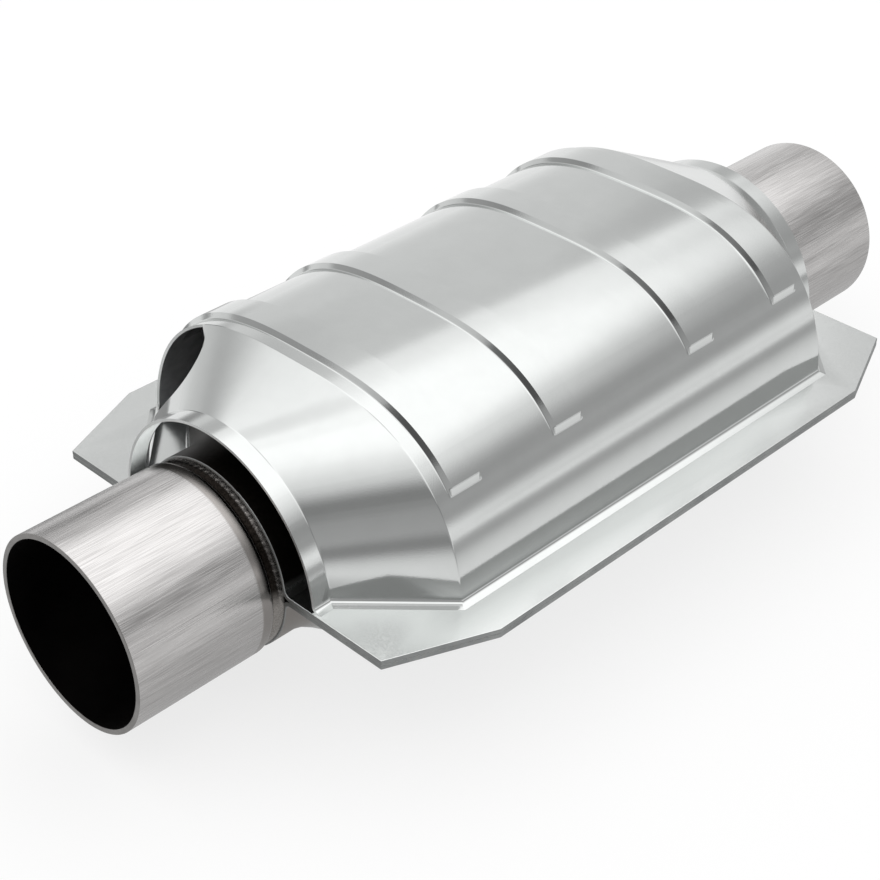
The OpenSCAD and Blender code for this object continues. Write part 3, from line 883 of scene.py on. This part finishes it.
wire_knit = knitted_wire("knitted_stainless_wire")
for end in ("front_brick_inlet", "front_brick_outlet", "rear_brick_inlet", "rear_brick_outlet"):
    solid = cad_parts[end + "_seal"]
    solid.data.materials.clear()
    solid.data.materials.append(wire_knit)


# Floor
# A plain pale sheet of studio paper, wide enough that its edges stay out of every picture. The
# metal mirrors it with soft shades: in front of the near side, beyond the inlet, under the object,
# and round ones beside it, each with its middle, its edges and its brightness.
FLOOR_HALF = 40.0
PAPER_TONE = 0.252
PAPER_GLOW = 0.74
SHADE_EDGES = (-1.3, -0.46, -0.4, -0.12)
SHADE = 0.32
INLET_EDGES = (-0.22, -0.46)
INLET_SHADE = 0.25
UNDER_X = (0.36, 0.26)
UNDER_Y = (0.15, 0.1)
UNDER = 0.55
BESIDE = (((-0.09, 0.24, 0), (0.19, 0.11), 0.1), ((0.42, 0.05, 0), (0.3, 0.15), 0.68))

floor_mesh = bpy.data.meshes.new("floor")
corners = [(-FLOOR_HALF, -FLOOR_HALF, 0), (FLOOR_HALF, -FLOOR_HALF, 0),
           (FLOOR_HALF, FLOOR_HALF, 0), (-FLOOR_HALF, FLOOR_HALF, 0)]
floor_mesh.from_pydata(corners, [], [(0, 1, 2, 3)])
floor_material = bpy.data.materials.new("pale_paper")
floor_material.use_nodes = True
floor_tree = floor_material.node_tree
floor_tree.nodes.remove(floor_tree.nodes["Principled BSDF"])
path = add_node(floor_tree, "ShaderNodeLightPath").outputs
spot = add_node(floor_tree, "ShaderNodeTexCoord").outputs["Object"]
flat_spot = add_node(floor_tree, "ShaderNodeSeparateXYZ", [("Vector", spot)]).outputs


def floor_math(operation, *values):
    """A Math node of the floor on numbers or sockets."""
    node = add_node(floor_tree, "ShaderNodeMath", operation=operation)
    for socket, value in zip(node.inputs, values):
        if isinstance(value, (int, float)):
            socket.default_value = value
        else:
            floor_tree.links.new(value, socket)
    return node.outputs[0]


def floor_step(value, edges, start, stop):
    """Goes smoothly from start to stop as value goes between two edges."""
    return add_node(floor_tree, "ShaderNodeMapRange", [("Value", value)],
                    interpolation_type="SMOOTHSTEP", From_Min=edges[0], From_Max=edges[1],
                    To_Min=start, To_Max=stop).outputs["Result"]


near_lit = floor_math("MAXIMUM", floor_step(flat_spot["Y"], SHADE_EDGES[:2], 1.0, SHADE),
                      floor_step(flat_spot["Y"], SHADE_EDGES[2:], SHADE, 1.0))
under = floor_math("MULTIPLY", floor_step(floor_math("ABSOLUTE", flat_spot["X"]), UNDER_X, 0, 1),
                   floor_step(floor_math("ABSOLUTE", flat_spot["Y"]), UNDER_Y, 0, 1))
lit = floor_math("MULTIPLY", floor_math("MULTIPLY_ADD", under, UNDER - 1, 1.0), near_lit)
for middle, edges, shade in BESIDE:
    reach = add_node(floor_tree, "ShaderNodeVectorMath", [(0, spot)], operation="DISTANCE")
    reach.inputs[1].default_value = middle
    lit = floor_math("MULTIPLY", lit, floor_step(reach.outputs["Value"], edges, 1.0, shade))
lit = floor_math("MULTIPLY", lit, floor_step(flat_spot["X"], INLET_EDGES, 1.0, INLET_SHADE))
seen = floor_math("MULTIPLY", path["Is Glossy Ray"], lit)
for kind in ("Is Camera Ray", "Is Transmission Ray"):
    seen = floor_math("MAXIMUM", path[kind], seen)
paper = add_node(floor_tree, "ShaderNodeBsdfDiffuse", Color=[PAPER_TONE] * 3 + [1])
glow = add_node(floor_tree, "ShaderNodeEmission", [("Strength", seen)],
                Color=[PAPER_GLOW] * 3 + [1])
both = add_node(floor_tree, "ShaderNodeAddShader")
floor_tree.links.new(paper.outputs[0], both.inputs[0])
floor_tree.links.new(glow.outputs[0], both.inputs[1])
floor_tree.links.new(both.outputs[0], floor_tree.nodes["Material Output"].inputs["Surface"])
floor = new_piece("floor", floor_mesh, floor_material)


# Studio
# A wide softbox overhead, soft towards the near side, above pale walls, of which the far one is
# the brightest. Dark flags and two light cards shape what the metal mirrors, and the last flag
# hangs overhead, so that flat metal seen from above isn't plain white. The camera sees white.
world = bpy.data.worlds.new("studio")
scene.world = world
world.use_nodes = True
sky = world.node_tree


def sky_math(operation, *values):
    """A Math node of the studio on numbers or sockets."""
    node = add_node(sky, "ShaderNodeMath", operation=operation)
    for socket, value in zip(node.inputs, values):
        if isinstance(value, (int, float)):
            socket.default_value = value
        else:
            sky.links.new(value, socket)
    return node.outputs[0]


def sky_ramp(place, stops):
    """Brightness of a wall by height: stops are (degrees above the horizon, brightness)."""
    ramp_node = add_node(sky, "ShaderNodeValToRGB", [("Fac", place)])
    ramp_node.color_ramp.interpolation = "CARDINAL"
    points = ramp_node.color_ramp.elements
    while len(points) < len(stops):
        points.new(0.5)
    for point, (degrees, level) in zip(points, stops):
        point.position = (degrees + 90) / 180
        point.color = [level / SOFTBOX] * 3 + [1.0]
    return ramp_node.outputs["Color"]


def sky_mix(share, low, high):
    """Goes from low to high as share goes from 0 to 1."""
    node = add_node(sky, "ShaderNodeMix", data_type="RGBA")
    sky.links.new(share, node.inputs[0])
    sky.links.new(low, node.inputs[6])
    sky.links.new(high, node.inputs[7])
    return node.outputs[2]


def sky_step(value, low, high):
    """Goes smoothly from 0 to 1 as value goes from low to high."""
    node = add_node(sky, "ShaderNodeMapRange", [("Value", value)],
                    interpolation_type="SMOOTHSTEP", From_Min=low, From_Max=high)
    return node.outputs["Result"]


def toward(azimuth_degrees, height_degrees):
    """The direction with this azimuth, from +X to +Y, and height."""
    turn, lift = math.radians(azimuth_degrees), math.radians(height_degrees)
    flat = math.cos(lift)
    return Vector((math.cos(turn) * flat, math.sin(turn) * flat, math.sin(lift)))


def facing(azimuth_degrees):
    """The cosine of how far a direction's azimuth is from this one."""
    return sky_math("COSINE", sky_math("SUBTRACT", round_angle, math.radians(azimuth_degrees)))


SOFTBOX = 1.6
FRONT_WALL = [(-20, 0.7), (0, 0.52), (4, 0.48), (8, 0.46), (12, 0.42), (16, 0.36), (20, 0.31),
              (24, 0.35), (28, 0.58), (32, 0.84), (36, 1.0), (40, 1.1), (44, 1.22), (48, 1.32),
              (52, 1.46), (60, 1.58)]
NEAR_WALL = [(-20, 0.9), (-1, 0.9), (2, 1.05), (5, 0.9), (8, 0.62), (11, 0.48), (16, 0.52),
             (24, 0.46), (28, 0.52), (33, 0.75), (38, 1.04), (42.5, 1.22), (46.5, 1.4),
             (52, 1.56), (60, 1.6)]
MIDDLE_WALL = [(-20, 0.9), (2, 0.95), (8, 0.6), (16, 0.52), (26, 0.47), (30, 0.48), (33, 0.53),
               (37, 0.68), (40, 0.87), (42.5, 1.06), (45, 1.25), (47.5, 1.44), (50, 1.54),
               (60, 1.6)]
FAR_WALL = [(-20, 1.1), (2, 1.02), (8, 0.92), (13, 0.86), (22, 0.85), (37.2, 0.85),
            (38.3, 1.16), (40.5, 1.24), (44, 1.33), (47, 1.48), (50, 1.57), (60, 1.6)]
SIDE_WALL = [(-20, 1.1), (4, 0.94), (8, 0.86), (12, 0.8), (20, 0.72), (24, 0.66), (28, 0.63),
             (32, 0.65), (36, 0.73), (40, 0.85), (44, 1.02), (48, 1.22), (52, 1.33), (60, 1.38),
             (68, 1.5)]
# Azimuth of each wall's middle, the cosines where it starts and is full, and the wall.
WALLS = ((-132, -0.1, 0.8, FRONT_WALL), (-4, 0.77, 0.94, MIDDLE_WALL), (48, 0.8, 0.93, FAR_WALL),
         (118, 0.64, 0.79, SIDE_WALL))
# Azimuth and height of each flag's middle, the angles where it is full and gone, and its share.
FLAGS = ((177, 25, 14, 19, 0.65), (70, 9, 7, 14, 0.72), (122, 60.5, 4, 11, 0.2),
         (60, 33, 5, 11, 0.18), (30, 29, 3, 9, 0.2), (-66, 2, 7, 13, -0.4),
         (127, 18, 10, 14, 0.4), (144, 34, 6, 13, -0.3), (0, 90, 7, 20, 0.5))

direction = add_node(sky, "ShaderNodeTexCoord").outputs["Generated"]
parts = add_node(sky, "ShaderNodeSeparateXYZ", [("Vector", direction)]).outputs
lift = sky_math("MULTIPLY_ADD", sky_math("ARCSINE", parts["Z"]), 1 / math.pi, 0.5)
round_angle = sky_math("ARCTAN2", parts["Y"], parts["X"])
walls = sky_ramp(lift, NEAR_WALL)
for middle, low, high, wall in WALLS:
    walls = sky_mix(sky_step(facing(middle), low, high), walls, sky_ramp(lift, wall))


def flag(way, full, gone, share):
    """A dark flag on the walls, or a light card where share is negative: full within an angle of
    its middle, and gone beyond another."""
    turn = add_node(sky, "ShaderNodeVectorMath", [(0, direction)], operation="DOT_PRODUCT")
    turn.inputs[1].default_value = way
    cover = sky_step(turn.outputs["Value"], math.cos(math.radians(gone)),
                     math.cos(math.radians(full)))
    return sky_math("MULTIPLY_ADD", cover, -share, 1.0)


level = SOFTBOX
for azimuth, height, full, gone, share in FLAGS:
    level = sky_math("MULTIPLY", flag(toward(azimuth, height), full, gone, share), level)
sky.links.new(walls, sky.nodes["Background"].inputs["Color"])
sky.links.new(level, sky.nodes["Background"].inputs["Strength"])
white = add_node(sky, "ShaderNodeBackground", Color=(1, 1, 1, 1), Strength=1.0)
shown = add_node(sky, "ShaderNodeMixShader", [
    (0, add_node(sky, "ShaderNodeLightPath").outputs["Is Camera Ray"]),
    (1, sky.nodes["Background"].outputs[0]),
    (2, white.outputs[0]),
])
sky.links.new(shown.outputs[0], sky.nodes["World Output"].inputs["Surface"])

scene.view_settings.view_transform = "Standard"
